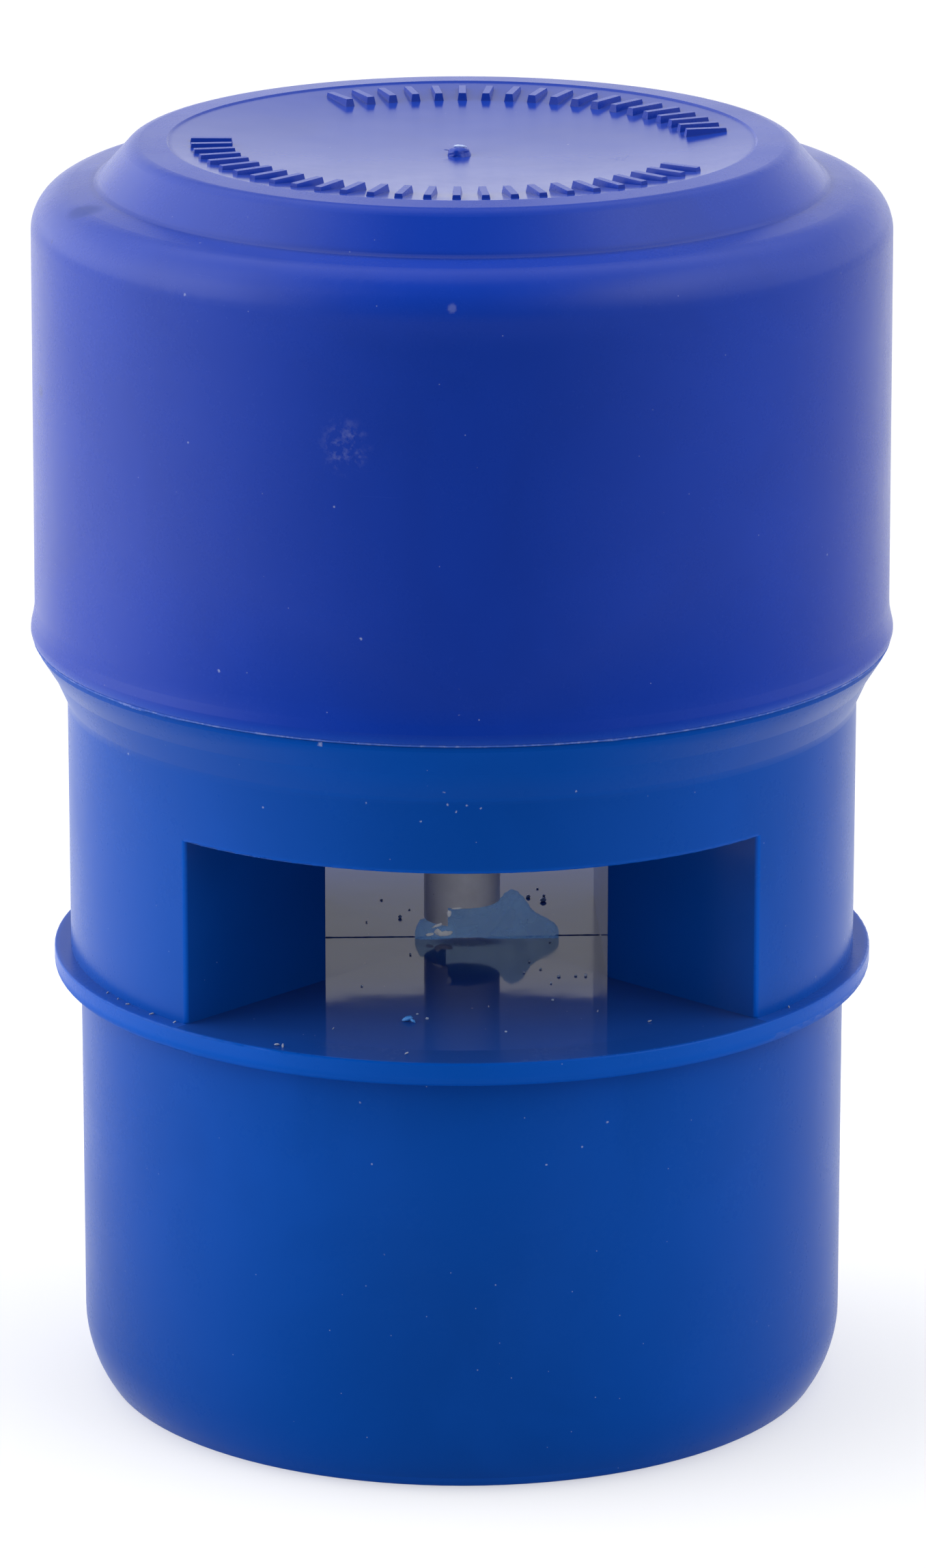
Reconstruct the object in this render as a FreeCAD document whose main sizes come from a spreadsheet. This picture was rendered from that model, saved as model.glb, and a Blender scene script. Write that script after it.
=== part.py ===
import FreeCAD, Part
import os
import math
import Sketcher
from FreeCAD import Vector

# Push-fit air admittance valve for a 50 mm drain pipe.
# Frame: origin in the middle of the spigot's bottom rim, +Z up along the axis,
# the front window faces -Y and the back window +Y. Millimetres.

doc = FreeCAD.newDocument("pipe_vent_valve")

# ---------------------------------------------------------------- sizes
SIZES = [
    # valve body, outside
    ("spigot_bore_r", 22.6), ("spigot_tip_r", 23.6), ("spigot_r", 25.0),
    ("spigot_lead_z", 2.09), ("spigot_lead_round", 7.8),
    ("flange_low_z", 27.75), ("flange_r", 26.73), ("flange_low_round", 0.75),
    ("flange_top_round", 0.12),
    ("inlet_r", 25.65), ("cone_low_z", 46.2), ("cone_mid_r", 26.52),
    ("cone_mid_z", 48.16), ("cone_r", 27.6),
    ("cone_high_z", 49.89), ("crease_round", 1.2), ("ledge_z", 50.2),
    # valve body, collar under the cap
    ("collar_r", 25.85), ("groove_r", 24.6), ("groove_low_z", 53.0),
    ("groove_high_z", 55.0), ("collar_lead_z", 57.0), ("collar_lead_r", 25.4),
    ("collar_top_z", 57.5), ("chamber_r", 23.2),
    # valve body, inlet channel, deck and seat
    ("floor_low_z", 27.2), ("floor_top_z", 29.4), ("window_tall", 12.05),
    ("channel_half", 9.1), ("window_reach", 28.0), ("edge_break", 0.2),
    ("deck_top_z", 43.45), ("seat_bore_r", 8.4), ("lip_out_r", 9.9),
    ("lip_top_z", 45.0), ("lip_round", 0.7),
    # side ducts left and right of the channel
    ("duct_start_z", 26.0), ("duct_tall", 18.5), ("duct_wall_x", 10.8),
    ("duct_corner_y", 8.396), ("duct_out_x", 17.563), ("duct_out_y", 15.159),
    # cap
    ("nib_top_z", 82.08), ("nib_tip_r", 0.42), ("nib_r", 0.6),
    ("dish_mid_z", 81.66), ("dish_z", 82.64), ("dish_r", 18.72), ("rim_in_r", 18.85),
    ("cap_top_z", 82.74), ("rim_r", 21.15), ("rim_z", 82.65), ("boss_base_r", 23.36),
    ("boss_base_z", 80.15), ("cap_r", 27.56), ("shoulder_z", 79.49),
    ("cap_low_r", 27.69), ("bead_high_z", 52.13), ("bead_r", 28.0), ("bead_mid_z", 50.8),
    ("cap_edge_r", 27.76), ("cap_low_z", 50.3), ("cap_bore_r", 26.15),
    ("cap_step_z", 58.2), ("cap_inner_r", 25.95), ("cap_neck_z", 58.6),
    ("cap_inner_z", 75.4), ("cap_in_shoulder_r", 24.5),
    ("cap_in_shoulder_z", 77.8), ("cap_in_base_r", 21.4),
    ("cap_in_base_z", 78.5), ("cap_in_top_r", 19.9), ("cap_in_top_z", 80.4),
    ("socket_out_r", 5.2), ("socket_low_z", 67.0), ("socket_r", 2.56),
    ("socket_top_z", 79.95),
    ("rim_round", 1.2), ("base_round", 0.5), ("shoulder_round", 2.84),
    ("bead_blend", 4.0), ("bead_round", 0.8),
    # raised tick marks on the cap's top
    ("tick_in_r", 14.6), ("tick_out_r", 17.4), ("tick_half", 0.34),
    ("tick_low_z", 82.1), ("tick_tall", 0.64), ("tick_draft", 10.0),
    ("front_start", 177.0), ("front_span", 150.0), ("front_count", 26),
    ("back_start", 10.0), ("back_span", 108.0), ("back_count", 19),
    # stem tube, its lower end cut short but for a tongue on the -X side
    ("stem_r", 2.5), ("stem_bore_r", 2.0), ("stem_low_z", 30.8),
    ("stem_long", 40.7), ("notch_x", 1.0), ("notch_reach", 6.0),
    ("notch_half", 3.0), ("notch_low_z", 30.0), ("notch_tall", 2.05),
    # scrap of flash that stands on the channel floor's parting line
    ("scrap_back", 0.4), ("scrap_thick", 0.9), ("scrap_low_z", 29.42),
    ("scrap_left", 3.1), ("scrap_a_z", 29.95), ("scrap_b_x", 2.65),
    ("scrap_b_z", 30.7), ("scrap_c_x", 1.7), ("scrap_d_x", 0.95),
    ("scrap_d_z", 31.8), ("scrap_e_x", 2.5), ("scrap_e_z", 31.95),
    ("scrap_f_x", 2.85), ("scrap_f_z", 32.5), ("scrap_g_x", 3.25),
    ("scrap_g_z", 32.7), ("scrap_h_x", 3.8), ("scrap_h_z", 32.45),
    ("scrap_i_x", 4.6), ("scrap_i_z", 31.3), ("scrap_j_x", 5.8),
    ("scrap_j_z", 30.5), ("scrap_right", 6.15), ("scrap_k_z", 30.0),
    # seal ring between collar and cap
    ("ring_mid_r", 25.33), ("ring_wire_r", 0.7), ("ring_z", 54.0),
    # sliding disc: plate, membrane, washer, clip
    ("hub_low_z", 42.6), ("hub_top_z", 58.0), ("hub_r", 4.5),
    ("hub_bore_r", 2.52), ("plate_low_z", 46.25), ("plate_top_z", 47.85),
    ("plate_r", 10.9), ("rib_in_r", 4.2), ("rib_out_r", 10.2),
    ("rib_sink_z", 47.5), ("rib_low_z", 48.1), ("rib_high_z", 51.2),
    ("rib_thick", 1.2), ("rib_count", 6),
    ("seal_low_z", 45.05), ("seal_in_r", 4.55), ("seal_r", 12.2),
    ("seal_rim_r", 11.4), ("seal_rim_z", 46.7), ("seal_top_z", 46.23),
    ("seal_web_r", 11.0),
    ("washer_low_z", 43.87), ("washer_tall", 1.16), ("washer_r", 7.0),
    ("washer_in_r", 4.55),
    ("clip_low_z", 43.1), ("clip_in_z", 42.95), ("clip_mid_z", 43.4),
    ("clip_top_z", 43.85), ("clip_out_r", 6.3), ("clip_mid_r", 5.6),
    ("clip_in_r", 4.52), ("slot_half", 0.35), ("slot_out_r", 5.3),
    ("slot_in_r", 3.4), ("slot_low_z", 42.5), ("slot_tall", 2.0), ("slot_count", 6),
]
V = dict(SIZES)

sheet = doc.addObject("Spreadsheet::Sheet", "sizes")
for row, (word, number) in enumerate(SIZES, start=1):
    sheet.set("A%d" % row, word)
    sheet.set("B%d" % row, str(number))
    sheet.setAlias("B%d" % row, word)
doc.recompute()


def cell(word):
    return "sizes." + word


# ---------------------------------------------------------------- helpers
def new_body(label):
    body = doc.addObject("PartDesign::Body", label)
    body.Label = label
    return body


def new_sketch(body, name, role, lift=None):
    sk = body.newObject("Sketcher::SketchObject", name)
    plane = [o for o in body.Origin.OriginFeatures if o.Role == role][0]
    sk.AttachmentSupport = [(plane, "")]
    sk.MapMode = "FlatFace"
    if lift:
        sk.setExpression("AttachmentOffset.Base.z", cell(lift))
    return sk


def number(word):
    if word == 0:
        return 0.0
    if word.startswith("-"):
        return -V[word[1:]]
    return V[word]


def pin(sk, geo, pos, across, up):
    for word, kind, axis in ((across, "DistanceX", -2), (up, "DistanceY", -1)):
        if word == 0:
            sk.addConstraint(Sketcher.Constraint("PointOnObject", geo, pos, axis))
        elif word.startswith("-"):
            k = sk.addConstraint(Sketcher.Constraint(kind, geo, pos, -1, 1, V[word[1:]]))
            sk.setExpression("Constraints[%d]" % k, cell(word[1:]))
        else:
            k = sk.addConstraint(Sketcher.Constraint(kind, -1, 1, geo, pos, V[word]))
            sk.setExpression("Constraints[%d]" % k, cell(word))


def outline(sk, points, bow=None):
    """Closed outline through the points; segment bow is a hollow arc about the vertical axis."""
    first = sk.GeometryCount
    n = len(points)
    spots = [Vector(number(a), number(b), 0) for a, b in points]
    for i in range(n):
        p, q = spots[i], spots[(i + 1) % n]
        if i == bow:
            # centre on the axis at equal distance from both ends
            c = (q.x ** 2 - p.x ** 2 + q.y ** 2 - p.y ** 2) / (2 * (q.y - p.y))
            r = math.hypot(p.x, p.y - c)
            x = (p.x + q.x) / 2
            sk.addGeometry(Part.Arc(p, Vector(x, c - math.sqrt(r * r - x * x), 0), q), False)
        else:
            sk.addGeometry(Part.LineSegment(p, q), False)
    for i in range(n):
        sk.addConstraint(Sketcher.Constraint("Coincident", first + i, 2,
                                             first + (i + 1) % n, 1))
    for i, (a, b) in enumerate(points):
        pin(sk, first + i, 1, a, b)
    if bow is not None:
        sk.addConstraint(Sketcher.Constraint("PointOnObject", first + bow, 3, -2))


def ring(sk, word):
    geo = sk.addGeometry(Part.Circle(Vector(0, 0, 0), Vector(0, 0, 1), V[word]), False)
    sk.addConstraint(Sketcher.Constraint("Coincident", geo, 3, -1, 1))
    k = sk.addConstraint(Sketcher.Constraint("Radius", geo, V[word]))
    sk.setExpression("Constraints[%d]" % k, cell(word))


def revolve(body, name, sk):
    rev = body.newObject("PartDesign::Revolution", name)
    rev.Profile = sk
    rev.ReferenceAxis = (sk, ["V_Axis"])
    rev.Angle = 360.0
    doc.recompute()
    return rev


def extrude(body, kind, name, sk, word, upward):
    before = body.Shape.Volume
    feat = body.newObject("PartDesign::" + kind, name)
    feat.Profile = sk
    feat.setExpression("Length", cell(word))
    if kind == "Pocket":
        feat.Reversed = upward
    else:
        feat.Reversed = not upward
    doc.recompute()
    change = body.Shape.Volume - before
    if (kind == "Pocket") == (change > -1e-3):
        raise RuntimeError("%s changes the volume by %.3f" % (name, change))
    return feat


def circle_edges(shape, pairs):
    names = []
    for i, e in enumerate(shape.Edges, start=1):
        c = e.Curve
        if not isinstance(c, Part.Circle):
            continue
        for r, z in pairs:
            if abs(c.Radius - V[r]) < 1e-4 and abs(c.Center.z - V[z]) < 1e-4 \
                    and abs(abs(c.Axis.z) - 1) < 1e-6:
                names.append("Edge%d" % i)
    return names


def round_off(body, name, pairs, word):
    base = body.Tip
    edges = circle_edges(base.Shape, pairs)
    if not edges:
        raise RuntimeError(name + " finds no edge")
    feat = body.newObject("PartDesign::Fillet", name)
    feat.Base = (base, edges)
    feat.setExpression("Radius", cell(word))
    doc.recompute()
    return feat


def polar(body, name, source, span, count):
    feat = body.newObject("PartDesign::PolarPattern", name)
    feat.Originals = [source]
    axis = [o for o in body.Origin.OriginFeatures if o.Role == "Z_Axis"][0]
    feat.Axis = (axis, [""])
    if span:
        feat.setExpression("Angle", cell(span))
    else:
        feat.Angle = 360.0
    feat.setExpression("Occurrences", cell(count))
    body.Tip = feat
    doc.recompute()
    return feat


# ---------------------------------------------------------------- valve body
# One moulding: spigot, stop flange, inlet body, deck with the seat lip, cone and collar.
body = new_body("valve_body")
sk = new_sketch(body, "body_profile", "XZ_Plane")
outline(sk, [
    (0, "floor_low_z"), ("spigot_bore_r", "floor_low_z"), ("spigot_bore_r", 0),
    ("spigot_tip_r", 0), ("spigot_r", "spigot_lead_z"), ("spigot_r", "flange_low_z"),
    ("flange_r", "flange_low_z"), ("flange_r", "floor_top_z"),
    ("inlet_r", "floor_top_z"), ("inlet_r", "cone_low_z"),
    ("cone_mid_r", "cone_mid_z"), ("cone_r", "cone_high_z"), ("cone_r", "ledge_z"), ("collar_r", "ledge_z"),
    ("collar_r", "groove_low_z"), ("groove_r", "groove_low_z"),
    ("groove_r", "groove_high_z"), ("collar_r", "groove_high_z"),
    ("collar_r", "collar_lead_z"), ("collar_lead_r", "collar_top_z"),
    ("chamber_r", "collar_top_z"), ("chamber_r", "deck_top_z"),
    ("lip_out_r", "deck_top_z"), ("lip_out_r", "lip_top_z"),
    ("seat_bore_r", "lip_top_z"), ("seat_bore_r", "floor_top_z"),
    (0, "floor_top_z"),
])
revolve(body, "body_turned", sk)
round_off(body, "lip_rounded", [("lip_out_r", "lip_top_z"), ("seat_bore_r", "lip_top_z")],
          "lip_round")
round_off(body, "spigot_end_rounded", [("spigot_r", "spigot_lead_z")], "spigot_lead_round")
round_off(body, "flange_low_rounded", [("flange_r", "flange_low_z")], "flange_low_round")
round_off(body, "flange_top_rounded", [("flange_r", "floor_top_z")], "flange_top_round")
round_off(body, "crease_softened", [("inlet_r", "cone_low_z")], "crease_round")

# Inlet channel: straight in the middle, flaring at 45 degrees to a window front and back.
sk = new_sketch(body, "channel_outline", "XY_Plane", "floor_top_z")
outline(sk, [
    ("-channel_half", "-channel_half"), ("-window_reach", "-window_reach"),
    ("window_reach", "-window_reach"), ("channel_half", "-channel_half"),
    ("channel_half", "channel_half"), ("window_reach", "window_reach"),
    ("-window_reach", "window_reach"), ("-channel_half", "channel_half"),
])
extrude(body, "Pocket", "channel", sk, "window_tall", True)

# Side ducts: from the spigot up through the floor and the deck into the cap.
sk = new_sketch(body, "duct_outline", "XY_Plane", "duct_start_z")
for side in (1, -1):
    sign = "" if side == 1 else "-"
    first = sk.GeometryCount
    a = Vector(side * V["duct_wall_x"], -V["duct_corner_y"], 0)
    b = Vector(side * V["duct_out_x"], -V["duct_out_y"], 0)
    c = Vector(side * V["chamber_r"], 0, 0)
    d = Vector(side * V["duct_out_x"], V["duct_out_y"], 0)
    e = Vector(side * V["duct_wall_x"], V["duct_corner_y"], 0)
    sk.addGeometry(Part.LineSegment(a, b), False)
    sk.addGeometry(Part.LineSegment(d, e), False)
    sk.addGeometry(Part.LineSegment(e, a), False)
    sk.addGeometry(Part.Arc(b, c, d), False)
    # the arc runs counter-clockwise, so its ends swap from side to side
    low, high = (1, 2) if side == 1 else (2, 1)
    sk.addConstraint(Sketcher.Constraint("Coincident", first + 1, 2, first + 2, 1))
    sk.addConstraint(Sketcher.Constraint("Coincident", first + 2, 2, first, 1))
    sk.addConstraint(Sketcher.Constraint("Coincident", first, 2, first + 3, low))
    sk.addConstraint(Sketcher.Constraint("Coincident", first + 1, 1, first + 3, high))
    sk.addConstraint(Sketcher.Constraint("Coincident", first + 3, 3, -1, 1))
    pin(sk, first, 1, sign + "duct_wall_x", "-duct_corner_y")
    pin(sk, first + 1, 2, sign + "duct_wall_x", "duct_corner_y")
    k = sk.addConstraint(Sketcher.Constraint("Radius", first + 3, V["chamber_r"]))
    sk.setExpression("Constraints[%d]" % k, cell("chamber_r"))
    for geo, pos, up in ((first, 2, "-duct_out_y"), (first + 1, 1, "duct_out_y")):
        if up.startswith("-"):
            k = sk.addConstraint(Sketcher.Constraint("DistanceY", geo, pos, -1, 1, V["duct_out_y"]))
        else:
            k = sk.addConstraint(Sketcher.Constraint("DistanceY", -1, 1, geo, pos, V["duct_out_y"]))
        sk.setExpression("Constraints[%d]" % k, cell("duct_out_y"))
extrude(body, "Pocket", "side_ducts", sk, "duct_tall", True)

# Window edges and the channel's upright inner corners, broken by a small round.
base = body.Tip
edges = []
ceiling = V["floor_top_z"] + V["window_tall"]
for i, e in enumerate(base.Shape.Edges, start=1):
    ends = [v.Point for v in e.Vertexes]
    if len(ends) < 2:
        continue
    radii = [math.hypot(p.x, p.y) for p in ends]
    heights = sorted(p.z for p in ends)
    upright = isinstance(e.Curve, Part.Line) and abs(heights[0] - V["floor_top_z"]) < 1e-3 \
        and abs(heights[1] - ceiling) < 1e-3
    outer = all(abs(r - V["inlet_r"]) < 1e-3 for r in radii)
    inner = all(abs(r - V["channel_half"] * math.sqrt(2)) < 1e-3 for r in radii)
    top = isinstance(e.Curve, Part.Circle) and outer and abs(heights[0] - ceiling) < 1e-3
    if (upright and (outer or inner)) or top:
        edges.append("Edge%d" % i)
feat = body.newObject("PartDesign::Fillet", "window_edges")
feat.Base = (base, edges)
feat.setExpression("Radius", cell("edge_break"))
doc.recompute()

# ---------------------------------------------------------------- cap
# Round push-on cap with a raised dished boss, and a socket inside that guides the stem's upper end.
cap = new_body("cap")
sk = new_sketch(cap, "cap_profile", "XZ_Plane")
outline(sk, [
    (0, "nib_top_z"), ("nib_tip_r", "nib_top_z"), ("nib_r", "dish_mid_z"),
    ("dish_r", "dish_z"), ("rim_in_r", "cap_top_z"), ("rim_r", "rim_z"),
    ("boss_base_r", "boss_base_z"), ("cap_r", "shoulder_z"),
    ("cap_low_r", "bead_high_z"), ("bead_r", "bead_mid_z"),
    ("cap_edge_r", "cap_low_z"), ("cap_bore_r", "cap_low_z"),
    ("cap_bore_r", "cap_step_z"), ("cap_inner_r", "cap_neck_z"),
    ("cap_inner_r", "cap_inner_z"), ("cap_in_shoulder_r", "cap_in_shoulder_z"),
    ("cap_in_base_r", "cap_in_base_z"), ("cap_in_top_r", "cap_in_top_z"),
    ("socket_out_r", "cap_in_top_z"), ("socket_out_r", "socket_low_z"),
    ("socket_r", "socket_low_z"), ("socket_r", "socket_top_z"), (0, "socket_top_z"),
], bow=2)
revolve(cap, "cap_turned", sk)
round_off(cap, "rim_rounded", [("rim_r", "rim_z")], "rim_round")
round_off(cap, "boss_base_rounded", [("boss_base_r", "boss_base_z")], "base_round")
round_off(cap, "shoulder_rounded", [("cap_r", "shoulder_z")], "shoulder_round")
round_off(cap, "bead_blended", [("cap_low_r", "bead_high_z")], "bead_blend")
round_off(cap, "bead_rounded", [("bead_r", "bead_mid_z")], "bead_round")

# Two arcs of plain raised ticks, front and back, on the dished top.
for side in ("front", "back"):
    name = side + "_tick"
    sk = cap.newObject("Sketcher::SketchObject", name + "_outline")
    plane = [o for o in cap.Origin.OriginFeatures if o.Role == "XY_Plane"][0]
    sk.AttachmentSupport = [(plane, "")]
    sk.MapMode = "FlatFace"
    sk.AttachmentOffset = FreeCAD.Placement(
        Vector(0, 0, V["tick_low_z"]),
        FreeCAD.Rotation(Vector(0, 0, 1), V[side + "_start"]))
    sk.setExpression("AttachmentOffset.Base.z", cell("tick_low_z"))
    outline(sk, [("tick_in_r", "-tick_half"), ("tick_out_r", "-tick_half"),
                 ("tick_out_r", "tick_half"), ("tick_in_r", "tick_half")])
    tick = extrude(cap, "Pad", name, sk, "tick_tall", True)
    tick.TaperAngle = -V["tick_draft"]
    tick.setExpression("TaperAngle", "-" + cell("tick_draft"))
    doc.recompute()
    polar(cap, name + "s", tick, side + "_span", side + "_count")

# ---------------------------------------------------------------- stem tube and flash scrap
# Tube through the disc's hub: it slides in the cap's socket and hangs into the inlet channel.
outer = doc.addObject("Part::Cylinder", "stem_outside")
outer.setExpression("Radius", cell("stem_r"))
outer.setExpression("Height", cell("stem_long"))
outer.setExpression("Placement.Base.z", cell("stem_low_z"))
inner = doc.addObject("Part::Cylinder", "stem_inside")
inner.setExpression("Radius", cell("stem_bore_r"))
inner.setExpression("Height", cell("stem_long"))
inner.setExpression("Placement.Base.z", cell("stem_low_z"))
hollow = doc.addObject("Part::Cut", "stem_hollow")
hollow.Base = outer
hollow.Tool = inner
notch = doc.addObject("Part::Box", "stem_notch")
notch.setExpression("Length", cell("notch_reach"))
notch.setExpression("Width", "2 * " + cell("notch_half"))
notch.setExpression("Height", cell("notch_tall"))
notch.setExpression("Placement.Base.x", "-" + cell("notch_x"))
notch.setExpression("Placement.Base.y", "-" + cell("notch_half"))
notch.setExpression("Placement.Base.z", cell("notch_low_z"))
stem = doc.addObject("Part::Cut", "stem_tube")
stem.Label = "stem_tube"
stem.Base = hollow
stem.Tool = notch

# Thin torn scrap of moulding flash, higher on the +X side.
scrap = new_body("flash_scrap")
sk = new_sketch(scrap, "scrap_outline", "XZ_Plane")
outline(sk, [
    ("-scrap_left", "scrap_low_z"), ("scrap_right", "scrap_low_z"),
    ("scrap_right", "scrap_k_z"), ("scrap_j_x", "scrap_j_z"),
    ("scrap_i_x", "scrap_i_z"), ("scrap_h_x", "scrap_h_z"),
    ("scrap_g_x", "scrap_g_z"), ("scrap_f_x", "scrap_f_z"),
    ("scrap_e_x", "scrap_e_z"), ("-scrap_d_x", "scrap_d_z"),
    ("-scrap_c_x", "scrap_b_z"), ("-scrap_b_x", "scrap_b_z"),
    ("-scrap_left", "scrap_a_z"),
])
feat = scrap.newObject("PartDesign::Pad", "scrap_pad")
feat.Profile = sk
feat.Midplane = True
feat.setExpression("Length", cell("scrap_thick"))
scrap.setExpression("Placement.Base.y", "-" + cell("scrap_back"))
doc.recompute()

# ---------------------------------------------------------------- seal ring under the cap
seal_ring = doc.addObject("Part::Torus", "cap_seal_ring")
seal_ring.Label = "cap_seal_ring"
seal_ring.setExpression("Radius1", cell("ring_mid_r"))
seal_ring.setExpression("Radius2", cell("ring_wire_r"))
seal_ring.setExpression("Placement.Base.z", cell("ring_z"))

# ---------------------------------------------------------------- sliding disc
# Plate with a long hub on the stem tube and radial stiffening ribs.
plate = new_body("valve_plate")
sk = new_sketch(plate, "plate_profile", "XZ_Plane")
outline(sk, [
    ("hub_bore_r", "hub_low_z"), ("hub_r", "hub_low_z"), ("hub_r", "plate_low_z"),
    ("plate_r", "plate_low_z"), ("plate_r", "plate_top_z"), ("hub_r", "plate_top_z"),
    ("hub_r", "hub_top_z"), ("hub_bore_r", "hub_top_z"),
])
revolve(plate, "plate_turned", sk)
sk = new_sketch(plate, "rib_outline", "XZ_Plane")
outline(sk, [("rib_in_r", "rib_sink_z"), ("rib_out_r", "rib_sink_z"),
             ("rib_out_r", "rib_low_z"), ("rib_in_r", "rib_high_z")])
rib = plate.newObject("PartDesign::Pad", "rib")
rib.Profile = sk
rib.Midplane = True
rib.setExpression("Length", cell("rib_thick"))
doc.recompute()
polar(plate, "ribs", rib, None, "rib_count")

# Soft sealing disc with a thin raised rim.
membrane = new_body("seal_membrane")
sk = new_sketch(membrane, "membrane_profile", "XZ_Plane")
outline(sk, [("seal_in_r", "seal_low_z"), ("seal_r", "seal_low_z"),
             ("seal_r", "seal_rim_z"), ("seal_rim_r", "seal_rim_z"),
             ("seal_web_r", "seal_top_z"), ("seal_in_r", "seal_top_z")])
revolve(membrane, "membrane_turned", sk)

# Washer that clamps the membrane under the plate.
washer = new_body("clamp_washer")
sk = new_sketch(washer, "washer_outline", "XY_Plane", "washer_low_z")
ring(sk, "washer_r")
ring(sk, "washer_in_r")
feat = washer.newObject("PartDesign::Pad", "washer_pad")
feat.Profile = sk
feat.setExpression("Length", cell("washer_tall"))
doc.recompute()

# Push-on clip on the hub's end: a dished ring with slots that leave gripping teeth.
clip = new_body("retaining_clip")
sk = new_sketch(clip, "clip_profile", "XZ_Plane")
outline(sk, [("clip_in_r", "clip_in_z"), ("clip_mid_r", "clip_mid_z"),
             ("clip_out_r", "clip_mid_z"), ("clip_out_r", "clip_top_z"),
             ("clip_mid_r", "clip_top_z"), ("clip_in_r", "clip_mid_z")])
revolve(clip, "clip_turned", sk)
sk = new_sketch(clip, "slot_outline", "XY_Plane", "slot_low_z")
outline(sk, [("slot_in_r", "-slot_half"), ("slot_out_r", "-slot_half"),
             ("slot_out_r", "slot_half"), ("slot_in_r", "slot_half")])
slot = extrude(clip, "Pocket", "slot", sk, "slot_tall", True)
polar(clip, "slots", slot, None, "slot_count")

# ---------------------------------------------------------------- checks and files
doc.recompute()
for o in doc.Objects:
    if any(word in o.State for word in ("Invalid", "Error")):
        raise RuntimeError("%s is in state %s" % (o.Name, o.State))

nodes = [(body, 1), (cap, 1), (stem, 1), (scrap, 1), (seal_ring, 1), (plate, 1),
         (membrane, 1), (washer, 1), (clip, 1)]
for o, solids in nodes:
    shape = o.Shape
    if shape.isNull() or not shape.isValid():
        raise RuntimeError(o.Label + " has no valid shape")
    if len(shape.Solids) != solids:
        raise RuntimeError("%s has %d solids" % (o.Label, len(shape.Solids)))

os.makedirs("parts", exist_ok=True)
for o, solids in nodes:
    box = o.Shape.BoundBox
    o.Shape.exportStep("parts/%s.step" % o.Label)
    print("%-16s %9.2f mm3  x %.2f..%.2f  y %.2f..%.2f  z %.2f..%.2f" % (
        o.Label, o.Shape.Volume, box.XMin, box.XMax, box.YMin, box.YMax, box.ZMin, box.ZMax))
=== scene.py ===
import math
import random

import bpy
import bmesh
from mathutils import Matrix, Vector, noise


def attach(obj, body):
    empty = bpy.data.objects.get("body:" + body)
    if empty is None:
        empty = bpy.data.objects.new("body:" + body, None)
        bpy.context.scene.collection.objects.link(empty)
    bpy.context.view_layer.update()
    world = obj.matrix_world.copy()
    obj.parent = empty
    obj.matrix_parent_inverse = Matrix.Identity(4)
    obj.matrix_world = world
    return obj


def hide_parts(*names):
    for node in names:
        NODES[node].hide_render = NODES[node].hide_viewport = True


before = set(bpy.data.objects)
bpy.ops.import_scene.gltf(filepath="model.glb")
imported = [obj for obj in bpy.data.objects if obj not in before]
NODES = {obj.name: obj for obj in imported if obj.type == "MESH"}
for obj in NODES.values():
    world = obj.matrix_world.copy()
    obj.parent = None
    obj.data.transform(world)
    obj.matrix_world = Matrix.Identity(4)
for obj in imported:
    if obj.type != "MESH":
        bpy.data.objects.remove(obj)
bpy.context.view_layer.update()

scene = bpy.context.scene
scene.view_settings.view_transform = "Standard"
MM = 0.001


# ------------------------------------------------------------------ camera
camera = bpy.data.cameras.new("camera")
camera.lens = 180.65
camera.sensor_width = 36.0
camera.shift_x = 0.00065
camera.clip_start = 0.05
camera.clip_end = 50.0
eye = bpy.data.objects.new("camera", camera)
scene.collection.objects.link(eye)
eye.location = (-0.01636, -0.49314, 0.18441)
eye.rotation_euler = (math.pi / 2 - 0.28508, 0.0, -math.atan2(0.01636, 0.49314))
scene.camera = eye


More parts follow.
